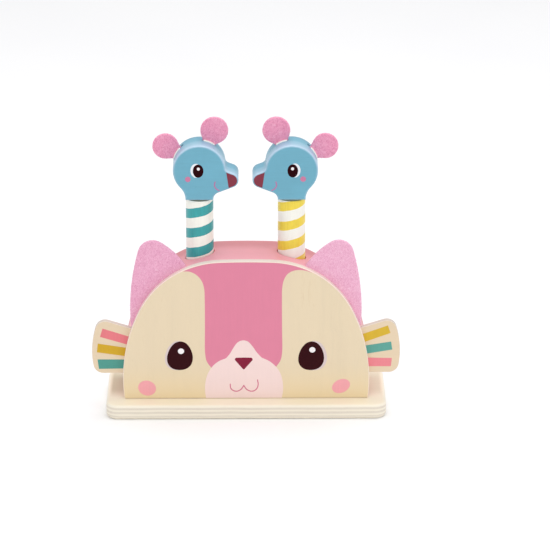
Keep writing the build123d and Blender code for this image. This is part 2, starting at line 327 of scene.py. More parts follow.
def head_outline():
    """A mouse head in profile about its disc's centre: u is the way that the mouse looks."""
    half = radians(SNOUT_ANGLE)
    nose = (SNOUT_REACH - NOSE_RADIUS, -SNOUT_DROP)
    top_out, low_out = (sin(half), cos(half)), (sin(half), -cos(half))
    top_line, low_line = shifted(nose, top_out, NOSE_RADIUS), shifted(nose, low_out, NOSE_RADIUS)
    # brow: outside the disc, above the snout's upper edge
    above = shifted(top_line, top_out, BROW_FILLET)
    brow = line_meets_circle(above, (cos(half), -sin(half)), (0, 0), HEAD_RADIUS + BROW_FILLET)
    brow_start = shifted(brow, top_out, -BROW_FILLET)
    # throat: between the neck and the snout's lower edge
    below = shifted(low_line, low_out, THROAT_FILLET)
    throat_x = PEG_RADIUS + THROAT_FILLET
    throat = (throat_x, below[1] + (throat_x - below[0]) * tan(half))
    throat_end = shifted(throat, low_out, -THROAT_FILLET)
    # nape: between the disc and the back of the neck
    nape_x = -PEG_RADIUS - NAPE_FILLET
    nape = (nape_x, -sqrt((HEAD_RADIUS + NAPE_FILLET) ** 2 - nape_x**2))
    fore, aft = (PEG_RADIUS, -HEAD_RISE), (-PEG_RADIUS, -HEAD_RISE)
    outline = joined(
        line(fore, (PEG_RADIUS, throat[1]), step=1.0),
        arc_between(throat, THROAT_FILLET, (PEG_RADIUS, throat[1]), throat_end, -1, 0.4),
        line(throat_end, low_line, step=1.0),
        arc_between(nose, NOSE_RADIUS, low_line, top_line, step=0.3),
        line(top_line, brow_start, step=1.0),
        arc_between(brow, BROW_FILLET, brow_start, (0, 0), -1, 0.25),
        arc_between((0, 0), HEAD_RADIUS, brow, nape, step=0.6),
        arc_between(nape, NAPE_FILLET, (0, 0), (-PEG_RADIUS, nape[1]), -1, 0.5),
        line((-PEG_RADIUS, nape[1]), aft, fore, step=1.0),
    )
    # points nearer to the neck's two sharp corners would fold over where the rim is rounded
    gaps = [min(dist(p, fore), dist(p, aft)) for p in outline]
    return [p for p, gap in zip(outline, gaps) if gap < 0.01 or gap > HEAD_ROUND + 0.2]


def mouse_ear_outline(angle, r):
    """A felt disc about the head's centre, drawn in straight to its stem."""
    stem = MOUSE_EAR["stem"] / 2
    start, foot = HEAD_RADIUS - MOUSE_EAR["slot"], HEAD_RADIUS - 0.3
    middle = (MOUSE_EAR["offset"], 0.0)
    spread = angle_of(middle, (foot, stem)) - degrees(acos(r / dist((foot, stem), middle)))
    disc = arc(middle, r, -spread, spread, 0.5)
    points = joined(
        line((start, -stem), (foot, -stem), step=0.8),
        line((foot, -stem), disc[0], step=0.6),
        disc,
        line(disc[-1], (foot, stem), step=0.6),
        line((foot, stem), (start, stem), (start, -stem), step=0.8),
    )
    return turned(points, angle)


# --- materials
def linear(r, g, b):
    """A linear colour from 8-bit display values."""
    shares = [c / 255 / 12.92 if c <= 10 else ((c / 255 + 0.055) / 1.055) ** 2.4 for c in (r, g, b)]
    return (*shares, 1.0)


def shade(colour, by):
    """A colour made darker or lighter by a factor."""
    return tuple(min(1.0, c * by) for c in colour[:3]) + (1.0,)


class Surface:
    """A material whose node tree is built a node at a time."""

    def __init__(self, name, **constants):
        self.material = bpy.data.materials.new(name)
        self.material.use_nodes = True
        self.tree = self.material.node_tree
        self.shader = self.tree.nodes["Principled BSDF"]
        for socket, value in constants.items():
            self.shader.inputs[socket.replace("_", " ")].default_value = value
        self.place = self.node("TexCoord", {})["Object"]
        self.axes = self.node("SeparateXYZ", {0: self.place})

    def node(self, kind, inputs, **settings):
        """The outputs of a new node; inputs are by name or number."""
        node = self.tree.nodes.new("ShaderNode" + kind)
        for key, value in settings.items():
            setattr(node, key, value)
        for socket, value in inputs.items():
            self.feed(node.inputs[socket], value)
        return node.outputs

    def feed(self, socket, value):
        if isinstance(value, bpy.types.NodeSocket):
            self.tree.links.new(value, socket)
        else:
            socket.default_value = value

    def math(self, operation, a, b=0.0):
        return self.node("Math", {0: a, 1: b}, operation=operation)[0]

    def times(self, product, *factors):
        for factor in factors:
            product = self.math("MULTIPLY", product, factor)
        return product

    def total(self, *weighted):
        """The sum of values that are each multiplied by a weight."""
        parts = [self.times(value, weight) for value, weight in weighted]
        for i in range(1, len(parts)):
            parts[i] = self.math("ADD", parts[i - 1], parts[i])
        return parts[-1]

    def moved(self, vector, by):
        return self.node("VectorMath", {0: vector, 1: by}, operation="ADD")[0]

    def stretched(self, axis, scale=0.06, others=1.0):
        """Object coordinates scaled along one axis: a small scale makes a grain that runs that way."""
        scales = [scale if name == axis else others for name in "xyz"]
        return self.node("Mapping", {"Vector": self.place, "Scale": scales})[0]

    def noise(self, vector, scale, detail=3.0, roughness=0.55, distortion=0.0):
        inputs = {"Vector": vector, "Scale": scale, "Detail": detail}
        return self.node("TexNoise", {**inputs, "Roughness": roughness, "Distortion": distortion})[0]

    def spread(self, value, low, high, to_low=0.0, to_high=1.0, smooth=False):
        """The value's way from low to high, as a share or between two other values."""
        inputs = {"Value": value, "From Min": low, "From Max": high, "To Min": to_low, "To Max": to_high}
        return self.node("MapRange", inputs, interpolation_type="SMOOTHSTEP" if smooth else "LINEAR")[0]

    def fade(self, value, low, high):
        """From 1 at low to 0 at high, smoothly."""
        return self.spread(value, low, high, 1.0, 0.0, smooth=True)

    def mix(self, share, a, b, blend="MIX"):
        return self.node("Mix", {0: share, 6: a, 7: b}, data_type="RGBA", blend_type=blend)[2]

    def ramp(self, value, stops, interpolation="LINEAR"):
        output = self.node("ValToRGB", {"Fac": value})[0]
        ramp = output.node.color_ramp
        ramp.interpolation = interpolation
        while len(ramp.elements) < len(stops):
            ramp.elements.new(0.5)
        for element, (position, colour) in zip(ramp.elements, stops):
            element.position = position
            element.color = colour
        return output

    def rim(self):
        """How much of a rounded edge a place is on."""
        return self.node("Attribute", {}, attribute_name="rim")["Fac"]

    def normal(self):
        return self.node("SeparateXYZ", {0: self.node("NewGeometry", {})["Normal"]})

    def finish(self, colour, roughness, height=None, depth=0.0, strength=0.0):
        """Wires the colour, the roughness and the bump into the shader."""
        self.feed(self.shader.inputs["Base Color"], colour)
        self.feed(self.shader.inputs["Roughness"], roughness)
        if height is not None:
            bump = self.node("Bump", {"Height": height, "Distance": depth, "Strength": strength})
            self.feed(self.shader.inputs["Normal"], bump[0])
        return self.material


def painted_wood(name, colour, grain, rough, depth=0.00006, edge=None, across=None):
    """Sprayed paint over wood: the grain shows through as faint relief, and edges that face up are a little
    paler, partly wear and partly a painted highlight.

    across has (y, colour) pairs of painted light and shade for the faces that look up or sideways, along the
    toy's depth.
    """
    s = Surface(name, Coat_Weight=0.12, Coat_Roughness=0.3)
    cloud = s.noise(s.place, 38.0, 4.0, 0.6)
    mottle = s.noise(s.place, 260.0, 3.0, 0.6)
    fibre = s.noise(s.stretched(grain), 620.0, 5.0, 0.62)
    pores = s.noise(s.stretched(grain), 1900.0, 2.0, 0.5)
    uneven = s.spread(s.total((cloud, 0.55), (fibre, 0.45)), 0.36, 0.64)
    base = s.mix(uneven, shade(colour, 0.945), shade(colour, 1.05))
    base = s.mix(s.spread(mottle, 0.55, 0.8, 0.0, 0.14), base, shade(colour, 0.86))
    normal = s.normal()
    # painted light and shade: faces that look up or sideways take tones along the toy's depth
    if across:
        low, high = across[0][0], across[-1][0]
        stops = [((y - low) / (high - low), tone) for y, tone in across]
        light_and_shade_tones = s.ramp(s.spread(s.axes["Y"], low * MM, high * MM), stops, "EASE")
        grey = s.ramp(uneven, [(0.0, (0.94, 0.94, 0.94, 1.0)), (1.0, (1.0, 1.0, 1.0, 1.0))])
        turned_away = s.fade(s.math("ABSOLUTE", normal["Y"]), 0.55, 0.9)
        turned_away = s.times(turned_away, s.spread(normal["Z"], -0.35, 0.25))
        base = s.mix(turned_away, base, s.mix(1.0, light_and_shade_tones, grey, "MULTIPLY"))
    # painted highlight and wear: rounded edges that face up are paler
    wear_and_highlight = s.times(s.rim(), s.spread(mottle, 0.3, 0.7, 0.6, 1.0), s.spread(normal["Z"], -0.25, 0.3, 0.1, 0.6))
    base = s.mix(wear_and_highlight, base, edge or shade(colour, 1.12))
    relief = s.math("ADD", fibre, s.times(s.spread(pores, 0.58, 0.75), -0.6))
    roughness = s.spread(s.math("ADD", mottle, fibre), 0.7, 1.3, rough - 0.07, rough + 0.09)
    return s.finish(base, roughness, relief, depth, 0.55)


def birch(name, grain, face, line, sawn, seam, plies, low=None, side_shade=None):
    """Birch plywood under clear lacquer: faint figure, short flecks, and its plies where they are cut.

    plies is the stack's axis, number, start and thickness; sawn and seam colour its cut edges, and sawn also
    its paler rounded edges, a painted highlight.
    """
    s = Surface(name, Coat_Weight=0.1, Coat_Roughness=0.35)
    warp = s.noise(s.place, 22.0, 2.0, 0.5)
    drift = {axis: s.times(warp, by) for axis, by in (("X", 0.012), ("Y", 0.010), ("Z", 0.012))}
    bent = s.moved(s.stretched(grain), s.node("CombineXYZ", drift)[0])
    figure = s.noise(bent, 130.0, 4.0, 0.6)
    fibre = s.noise(bent, 900.0, 4.0, 0.65)
    fleck = s.noise(s.stretched(grain, 0.2), 1500.0, 1.0, 0.4)
    stops = [(0.30, shade(face, 0.965)), (0.46, face), (0.60, shade(face, 1.015)), (0.78, line)]
    base = s.ramp(s.total((figure, 0.7), (fibre, 0.3)), stops)
    base = s.mix(s.spread(fleck, 0.66, 0.76, 0.0, 0.22), base, line)
    if low:
        # painted light and shade: the wood is lighter and warmer near the base plate, a painted bounce from
        # it, with a dark line where the two meet, a painted contact shadow
        base = s.mix(s.times(s.fade(s.axes["Z"], 0.012, 0.045), 0.75), base, low)
        base = s.mix(s.spread(s.axes["Z"], 0.0124, 0.0132, 0.8, 0.0), base, shade(low, 0.55))
    if side_shade:
        # painted shade: the wood is darker in the narrow strips beside the block, where the block and the
        # whisker plates shade it, most of all at its left
        wide = s.math("ABSOLUTE", s.axes["X"])
        shade_strip = s.times(
            s.spread(s.axes["Y"], -0.024, -0.004, smooth=True),
            s.spread(s.axes["Y"], 0.016, 0.040, 1.0, 0.45, smooth=True),
            s.spread(wide, 0.1108, 0.1072, smooth=True),
            s.spread(wide, 0.094, 0.098),
            s.spread(s.axes["Z"], 0.0105, 0.0118),
            s.spread(s.axes["X"], -0.09, 0.09, 0.85, 0.47),
        )
        base = s.mix(shade_strip, base, side_shade)
    axis, count, start, thick = plies
    wobble = s.times(s.math("SUBTRACT", s.noise(s.place, 45.0, 2.0), 0.5), 0.0011)
    level = s.math("SUBTRACT", s.math("ADD", s.axes[axis], wobble), start * MM)
    level = s.math("DIVIDE", level, thick * MM / count)
    parity = s.math("PINGPONG", s.math("SUBTRACT", level, 0.5), 1.0)
    broken = s.spread(s.noise(s.stretched("z", 3.0, 0.5), 70.0, 2.0), 0.3, 0.7, 0.45, 1.0)
    cross = s.times(s.spread(parity, 0.36, 0.64, smooth=True), broken)
    end_grain = s.noise(s.place, 1500.0, 3.0, 0.7)
    dark = s.mix(s.spread(end_grain, 0.35, 0.65), shade(seam, 0.86), shade(seam, 0.98))
    glue_line = s.math("ABSOLUTE", s.math("SUBTRACT", s.times(cross, 2.0), 1.0))
    glue_line = s.math("SUBTRACT", 1.0, glue_line)
    edge = s.mix(s.times(glue_line, 0.2), s.mix(cross, sawn, dark), shade(seam, 0.7))
    sawn_face = s.fade(s.math("ABSOLUTE", s.normal()[axis]), 0.55, 0.85)
    base = s.mix(sawn_face, base, edge)
    # painted highlight: rounded edges are paler
    base = s.mix(s.times(s.rim(), 0.7), base, shade(sawn, 1.03))
    height = s.math("ADD", fibre, s.times(cross, sawn_face, s.spread(end_grain, 0.3, 0.7, -1.6, -0.4)))
    return s.finish(base, s.spread(fibre, 0.3, 0.7, 0.46, 0.6), height, 0.00007, 0.5)


def ink(name, colour, spread, gloss):
    """Printed ink on lacquered wood, a little uneven where the grain lifts it."""
    s = Surface(f"ink_{name}", Specular_IOR_Level=gloss)
    cover = s.noise(s.stretched("z"), 700.0, 4.0, 0.6)
    cloud = s.noise(s.place, 45.0, 3.0, 0.55)
    uneven = s.spread(s.total((cover, 0.5), (cloud, 0.5)), 0.38, 0.62)
    base = s.mix(uneven, shade(colour, 1 - spread), shade(colour, 1 + spread))
    return s.finish(base, s.spread(cover, 0.3, 0.7, 0.4, 0.53), cover, 0.00002, 0.15)


def felt(name, colour, deep, pale):
    """Pressed wool felt: matted fibres with darker and paler flecks, and a soft bloom at its edges."""
    s = Surface(name, Sheen_Weight=0.35, Sheen_Roughness=0.55, Sheen_Tint=pale, Specular_IOR_Level=0.15)
    swirl = s.node("TexNoise", {"Vector": s.place, "Scale": 420.0, "Detail": 2.0})["Color"]
    swirl = s.node("VectorMath", {"Vector": swirl, "Scale": 0.0016}, operation="SCALE")[0]
    swirled = s.moved(s.place, swirl)
    matted = s.noise(swirled, 760.0, 5.0, 0.72, 0.6)
    clumps = s.noise(s.place, 150.0, 3.0, 0.6)
    wave = {"Distortion": 9.0, "Detail": 3.0, "Detail Scale": 1.6, "Detail Roughness": 0.7}
    strands = s.node("TexWave", {"Vector": swirled, "Scale": 420.0, **wave})["Fac"]
    speck = s.node("TexVoronoi", {"Vector": swirled, "Scale": 640.0, "Randomness": 1.0})["Distance"]
    tone = s.total((matted, 0.6), (strands, 0.22), (clumps, 0.16))
    base = s.ramp(tone, [(0.36, deep), (0.48, colour), (0.58, shade(colour, 1.05)), (0.69, pale)])
    flecks = s.times(s.spread(speck, 0.28, 0.12), s.spread(clumps, 0.45, 0.6), 0.5)
    base = s.mix(flecks, base, shade(deep, 0.92))
    return s.finish(base, 0.95, s.math("ADD", matted, s.times(strands, 0.35)), 0.00028, 0.7)


def striped_paint(name, side, white, colour, lead, cover, phase, white_below=0.0):
    """White paint with one broad painted spiral round an upright peg."""
    s = Surface(name, Coat_Weight=0.2, Coat_Roughness=0.25)
    dx = s.math("SUBTRACT", s.axes["X"], side * BORE_X * MM)
    dy = s.math("SUBTRACT", s.axes["Y"], BORE_Y * MM)
    turn = s.math("DIVIDE", s.math("ARCTAN2", dy, dx), 2 * pi)
    rise = s.math("DIVIDE", s.math("SUBTRACT", s.axes["Z"], phase * MM), lead * MM)
    ragged = s.times(s.math("SUBTRACT", s.noise(s.place, 190.0, 3.0, 0.6), 0.5), 0.055)
    wave = s.math("FRACT", s.math("ADD", s.math("SUBTRACT", rise, turn), ragged))
    soft = 0.012
    band = s.times(
        s.spread(wave, 0.0, soft),
        s.spread(wave, cover, cover + soft, 1.0, 0.0),
        s.spread(s.axes["Z"], white_below * MM, (white_below + 0.4) * MM),
    )
    grain = s.noise(s.stretched("z"), 700.0, 4.0, 0.6)
    cloud = s.noise(s.place, 60.0, 3.0)
    uneven = s.spread(s.total((grain, 0.5), (cloud, 0.5)), 0.38, 0.62)
    ground = s.mix(uneven, shade(white, 0.95), shade(white, 1.02))
    paint = s.mix(uneven, shade(colour, 0.9), shade(colour, 1.08))
    height = s.math("ADD", grain, s.times(band, 1.2))
    return s.finish(s.mix(band, ground, paint), s.spread(grain, 0.3, 0.7, 0.3, 0.42), height, 0.00005, 0.6)


def bare_wood(name, face, line):
    """Turned beech: fine flecks along the grain."""
    s = Surface(name)
    figure = s.noise(s.stretched("z"), 420.0, 4.0, 0.6)
    fleck = s.noise(s.stretched("z", 0.25), 1500.0, 1.0, 0.5)
    base = s.mix(s.spread(figure, 0.35, 0.65), face, shade(face, 0.88))
    base = s.mix(s.spread(fleck, 0.62, 0.72, 0.0, 0.6), base, line)
    return s.finish(base, 0.6, figure, 0.00006, 0.5)


def wire_steel(name, colour, rough):
    """Drawn or plated steel: fine draw lines and a faint bloom."""
    s = Surface(name, Metallic=1.0)
    lines = s.noise(s.stretched("z", 6.0), 900.0, 3.0, 0.6)
    bloom = s.noise(s.place, 160.0, 3.0, 0.6)
    base = s.mix(s.spread(bloom, 0.35, 0.7), colour, shade(colour, 0.82))
    return s.finish(base, s.spread(lines, 0.3, 0.7, rough - 0.06, rough + 0.1), lines, 0.00002, 0.4)


CREAM_LINE = linear(224, 202, 166)
# the colour at its end is a painted shade for the strips beside the block
base_birch = birch(
    "base_birch", "x", linear(250, 240, 217), linear(234, 219, 194), linear(246, 238, 220),
    linear(236, 225, 208), ("Z", 7, 0.0, BASE[2]), side_shade=linear(196, 186, 156),
)
# the low colour paints bounce light and a contact shadow near the base plate; the pinkish white edge colours
# are partly a painted highlight and a painted pink bounce from the block
panel_birch = birch(
    "panel_birch", "z", linear(234, 216, 184), CREAM_LINE, linear(252, 236, 226),
    linear(244, 222, 208), ("Y", 5, PANEL_FRONT, PANEL_BACK - PANEL_FRONT), low=linear(242, 219, 174),
)
# its greyer edge colours are a painted shade of the ear and the panel above them
whisker_birch = birch(
    "whisker_birch", "x", linear(233, 212, 181), CREAM_LINE, linear(226, 214, 202),
    linear(196, 180, 168), ("Y", 5, PANEL_BACK, WHISKER["deep"]),
)
# the across tones are a painted shade: the block's top and sides are darker towards the back
block_pink = painted_wood(
    "block_pink", linear(246, 172, 183), "x", 0.45,
    across=[(-19.0, linear(255, 175, 187)), (0.0, linear(253, 172, 182)), (18.0, linear(221, 138, 145))],
)
# the bores' walls are a darker crimson, a painted shade of the deep holes
bore_shade_crimson = painted_wood("bore_shade_crimson", linear(240, 100, 110), "z", 0.55, 0.00012)
# the across tones are a painted highlight along the front of the head's top and a painted shade towards its
# back; the edge colour is a painted highlight on its upward edges
mouse_blue = painted_wood(
    "mouse_blue", linear(108, 175, 198), "x", 0.34, edge=linear(206, 224, 244),
    across=[
        (-9.8, linear(176, 208, 230)), (-1.0, linear(146, 194, 216)), (5.0, linear(112, 178, 202)),
        (12.0, linear(108, 172, 196)), (15.8, linear(96, 152, 168)),
    ],
)
# a dark grey-green material that paints the shadow under each mouse's head
neck_shadow = bare_wood("neck_shadow", linear(108, 118, 104), linear(84, 90, 78))
glue = painted_wood("dried_glue", linear(253, 250, 243), "x", 0.35, 0.00003)
beech = bare_wood("beech", linear(226, 196, 156), linear(176, 134, 92))
cat_felt = felt("cat_felt", linear(246, 184, 212), linear(226, 150, 186), linear(253, 216, 232))
# the right ear's felt is a paler copy of cat_felt, painted light from the right
right_lit_cat_felt = felt("right_lit_cat_felt", linear(249, 192, 218), linear(231, 159, 193), linear(255, 222, 236))
mouse_felt = felt("mouse_felt", linear(249, 169, 200), linear(222, 126, 164), linear(255, 208, 226))
PEG_WHITE, TEAL, YELLOW = linear(254, 253, 243), linear(42, 163, 165), linear(246, 219, 66)
teal_stripes = striped_paint("teal_stripes", SIDES["left"], PEG_WHITE, TEAL, 16.5, 0.49, 164.6)
yellow_stripes = striped_paint("yellow_stripes", SIDES["right"], PEG_WHITE, YELLOW, 16.3, 0.47, 170.0, 108.0)
spring_steel = wire_steel("spring_steel", (0.56, 0.57, 0.60, 1.0), 0.28)
zinc = wire_steel("zinc", (0.62, 0.63, 0.64, 1.0), 0.34)
INK_COLOURS = {
    "rose": (228, 137, 163), "blush": (249, 224, 220), "wine": (136, 36, 62), "mouth": (212, 112, 142),
    "dark": (54, 16, 21), "grey_rose": (222, 205, 204), "white": (250, 246, 248), "cheek": (248, 172, 180),
    "coral": (234, 128, 136), "mustard": (213, 171, 44), "teal": (84, 158, 146),
    # the right whisker's inks are paler copies of the left ones, painted light from the right
    "right_lit_coral": (240, 140, 150), "right_lit_mustard": (221, 184, 56), "right_lit_teal": (98, 169, 157),
    "mouse_white": (240, 244, 250), "mouse_dark": (44, 8, 14), "mouse_pink": (208, 128, 164),
    "mouse_mouth": (186, 126, 170), "mouse_nose": (136, 60, 74),
}
INK_SPREAD = {"rose": 0.015, "blush": 0.012}
INK_GLOSS = {"wine": 0.08, "dark": 0.05, "mouse_dark": 0.03, "mouse_nose": 0.12}
INKS = {
    name: ink(name, linear(*colour), INK_SPREAD.get(name, 0.03), INK_GLOSS.get(name, 0.2))
    for name, colour in INK_COLOURS.items()
}


# --- meshes
def upright(side=1):
    """u outward on that side, v up from the base plate's top, w along the toy's depth."""
    return lambda u, v, w: Vector((side * u, w, BASE[2] + v)) * MM


def lying(u, v, w):
    return Vector((u, v, w)) * MM


def head_place(side):
    """u the way that the mouse looks, v up from its head's centre, w along the toy's depth."""
    return lambda u, v, w: Vector((side * (BORE_X - u), BORE_Y + w, HEAD_Z + v)) * MM


def inset(outline, by):
    """The outline moved inward, with mitred corners."""
    if by == 0:
        return outline
    moved = []
    for i, p in enumerate(outline):
        u, v = heading(outline[i - 1], p), heading(p, outline[(i + 1) % len(outline)])
        nx, ny = u[1] + v[1], -u[0] - v[0]
        reach = by * 2 / max(nx * nx + ny * ny, MITRE_LIMIT)
        moved.append((p[0] - nx * reach, p[1] - ny * reach))
    return moved


def rim_profile(depths, rounds, steps):
    """(depth, inset, rim) down a slab's edge, with a quarter round at each face."""
    near, far = [], []
    for profile, depth, r, way in ((near, depths[0], rounds[0], 1), (far, depths[1], rounds[1], -1)):
        for i in range(steps + 1 if r else 1):
            t = pi / 2 * i / steps
            profile.append((depth + way * r * (1 - cos(t)), r * (1 - sin(t)), sin(2 * t)))
    return near + far[::-1]


def add_ring(bm, points, rim=0.0):
    layer = bm.verts.layers.float.get("rim") or bm.verts.layers.float.new("rim")
    ring = [bm.verts.new(point) for point in points]
    for vertex in ring:
        vertex[layer] = rim
    return ring


def add_skin(bm, rings, from_top=False, material=0, flat_fill=False):
    """Closes the rings into a solid. They run from its lower end, or from_top, as seen from above."""
    caps = [rings[0], rings[-1][::-1]] if from_top else [rings[0][::-1], rings[-1]]
    made = [bm.faces.new(cap) for cap in caps]
    if flat_fill:
        for face in made:
            face.normal_update()
        made = bmesh.ops.triangulate(bm, faces=made, ngon_method="EAR_CLIP")["faces"]
    for low, high in zip(rings, rings[1:]):
        for i in range(len(low)):
            j = (i + 1) % len(low)
            a, b = (j, i) if from_top else (i, j)
            made.append(bm.faces.new((low[a], low[b], high[b], high[a])))
    for face in made:
        face.material_index = material


def slab_mesh(bm, outline, place, depths, rounds=(0.0, 0.0), steps=5, material=0, flat_fill=False):
    """Adds a closed slab of that outline, from one depth to the other, to a bmesh."""
    rings = []
    for depth, by, rim in rim_profile(depths, rounds, steps):
        rings.append(add_ring(bm, [place(u, v, depth) for u, v in inset(outline, by)], rim))
    add_skin(bm, rings, True, material, flat_fill)


def lathe_mesh(bm, profile, centre, segments, top=None):
    """Adds a solid turned about an upright axis; profile is (radius, height and maybe rim), upward."""
    rings = []
    for radius, height, *rim in profile:
        points = []
        for i in range(segments):
            a = 2 * pi * i / segments
            x, y = centre[0] + radius * cos(a), centre[1] + radius * sin(a)
            points.append(Vector((x, y, height + (top(x) if top else 0.0))) * MM)
        rings.append(add_ring(bm, points, *rim))
    add_skin(bm, rings)


def tube_mesh(bm, path, radii, sides):
    """Adds a closed tube that follows the path."""
    rings, across = [], None
    for i, point in enumerate(path):
        way = (path[min(i + 1, len(path) - 1)] - path[max(i - 1, 0)]).normalized()
        if across is None:
            across = way.orthogonal().normalized()
        across = (across - way * across.dot(way)).normalized()
        up = way.cross(across)
        turns = [2 * pi * k / sides for k in range(sides)]
        ring = [point + (across * cos(a) + up * sin(a)) * radii[i] for a in turns]
        rings.append(add_ring(bm, ring))
    add_skin(bm, rings)


def crease(bm, sharp):
    """Smooth faces, with crisp edges above the sharp angle."""
    for face in bm.faces:
        face.smooth = True
    for edge in bm.edges:
        edge.smooth = not (len(edge.link_faces) == 2 and edge.calc_face_angle(0) > radians(sharp))


def even_shading(obj):
    obj.modifiers.new("even_shading", "WEIGHTED_NORMAL").keep_sharp = True


def to_object(name, bm, materials, sharp=SHARP_ANGLE, weighted=True):
    """A finished object: consistent normals, smooth faces and crisp edges."""
    bmesh.ops.recalc_face_normals(bm, faces=bm.faces)
    crease(bm, sharp)
    mesh = bpy.data.meshes.new(name)
    bm.to_mesh(mesh)
    bm.free()
    obj = bpy.data.objects.new(name, mesh)
    scene.collection.objects.link(obj)
    for material in materials:
        mesh.materials.append(material)
    if weighted:
        even_shading(obj)
    return obj


def slab(name, outline, place, depths, rounds, materials, steps=5):
    bm = bmesh.new()
    slab_mesh(bm, outline, place, depths, rounds, steps)
    return to_object(name, bm, materials)


def applied(obj):
    """A bmesh of the object with its modifiers, which are taken off it."""
    bpy.context.view_layer.update()
    mesh = bpy.data.meshes.new_from_object(obj.evaluated_get(bpy.context.evaluated_depsgraph_get()))
    obj.modifiers.clear()
    bm = bmesh.new()
    bm.from_mesh(mesh)
    bpy.data.meshes.remove(mesh)
    return bm


def replace_mesh(obj, bm):
    old, materials = obj.data, list(obj.data.materials)
    obj.data = bpy.data.meshes.new(obj.name)
    bm.to_mesh(obj.data)
    bm.free()
    for material in materials:
        obj.data.materials.append(material)
    bpy.data.meshes.remove(old)


def cut(obj, cutter_bm, marks=None, sharp=SHARP_ANGLE):
    """Cuts the bmesh's solid out; marks(centre, normal) gives a face's material, or None to keep it."""
    cutter = to_object("cutter", cutter_bm, [], weighted=False)
    obj.modifiers.clear()
    boolean = obj.modifiers.new("cut", "BOOLEAN")
    boolean.operation, boolean.solver, boolean.object = "DIFFERENCE", "EXACT", cutter
    bm = applied(obj)
    bpy.data.objects.remove(cutter)
    bmesh.ops.dissolve_degenerate(bm, dist=1e-7, edges=bm.edges)
    for face in bm.faces if marks else ():
        picked = marks(face.calc_center_median() / MM, face.normal)
        if picked is not None:
            face.material_index = picked
    crease(bm, sharp)
    replace_mesh(obj, bm)
    even_shading(obj)


def print_stack(name, shapes, place, surface, outward):
    """Printed shapes as thin closed layers on a flat face, each a little over the one before."""
    bm = bmesh.new()
    materials = []
    for level, (ink_name, outline) in enumerate(shapes):
        material = INKS[ink_name]
        if material not in materials:
            materials.append(material)
        depths = (surface - outward * INK_SUNK, surface + outward * (INK_FIRST + INK_STEP * level))
        slab_mesh(bm, outline, place, sorted(depths), material=materials.index(material), flat_fill=True)
    return to_object(name, bm, materials, weighted=False)


def place_piece(obj, body, slot, *nodes):
    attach(obj, body)
    if nodes:
        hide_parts(*nodes)


# --- base plate
HALF_X, HALF_Y = BASE[0] / 2, BASE[1] / 2
plate_outline = rounded(
    [(HALF_X, HALF_Y), (-HALF_X, HALF_Y), (-HALF_X, -HALF_Y), (HALF_X, -HALF_Y)], [BASE_CORNER] * 4, 0.5
)
base_plate = slab("base_plate_plywood", plate_outline, lying, (0.0, BASE[2]), BASE_ROUND, [base_birch], 8)
SCREW_PLACES = [
    (sx * SCREW_SPACING[0] / 2, BORE_Y + sy * SCREW_SPACING[1] / 2) for sx in (-1, 1) for sy in (-1, 1)
]
holes = bmesh.new()
for spot in SCREW_PLACES:
    lathe_mesh(holes, SCREW_HOLE, spot, FLATS["screw_hole"])
cut(base_plate, holes)
place_piece(base_plate, "toy_body", "birch_plywood", "base_plate")

# --- block with its two bores
block = slab(
    "pink_block", arch_outline(), upright(), (PANEL_BACK, BLOCK_BACK), BLOCK_ROUND, [block_pink, bore_shade_crimson]
)
# heights are from the arch's top: far below it, the rounded lip, and out over the wood
bore_profile = [(BORE_RADIUS, -120.0)]
for a in [radians(LIP_STEP_DEGREES * i) for i in range(7)]:
    bore_profile.append((BORE_RADIUS + BORE_LIP - BORE_LIP * cos(a), -BORE_LIP + BORE_LIP * sin(a)))
lip_radius, lip_height = bore_profile[-1]
bore_profile += [(lip_radius + 1.0, lip_height + 0.31), (lip_radius + 1.0, 8.0)]
bores = bmesh.new()
for side in SIDES.values():
    centre = (side * BORE_X, BORE_Y)
    lathe_mesh(bores, bore_profile, centre, FLATS["bore"], lambda x: BASE[2] + arch_top(x))


def bore_shade_faces(centre, normal):
    """The second material, a crimson painted shade, for the walls of the two bores."""
    away = min(hypot(centre.x - side * BORE_X, centre.y - BORE_Y) for side in SIDES.values())
    if away < BORE_RADIUS + 0.25 and centre.z > BASE[2] + 1 and abs(normal.z) < 0.6:
        return 1
    return None


cut(block, bores, bore_shade_faces)
place_piece(block, "toy_body", "pink_painted_wood", "body_block", "body_block_front")

# --- front panel and its print
panel = slab("face_panel", arch_outline(), upright(), (PANEL_FRONT, PANEL_BACK), PANEL_ROUND, [panel_birch])
place_piece(panel, "toy_body", "birch_plywood", "front_panel")

left_patch = spline([
    (-50.2, 109.0), (-44.3, 108.7), (-38.9, 105.8), (-35.0, 100.9), (-33.1, 94.5), (-32.7, 84.7),
    (-32.7, 60.0), (-32.7, 39.0), (-31.4, 32.3), (-27.6, 26.6), (-20.0, 20.0),
])
right_patch = spline([
    (20.0, 20.0), (24.0, 27.4), (27.3, 32.5), (28.7, 39.0), (28.7, 60.0), (28.6, 84.7), (28.8, 94.5),
    (30.2, 101.6), (33.2, 106.6), (37.6, 109.2), (42.7, 109.9), (47.6, 109.2), (52.5, 107.5),
])
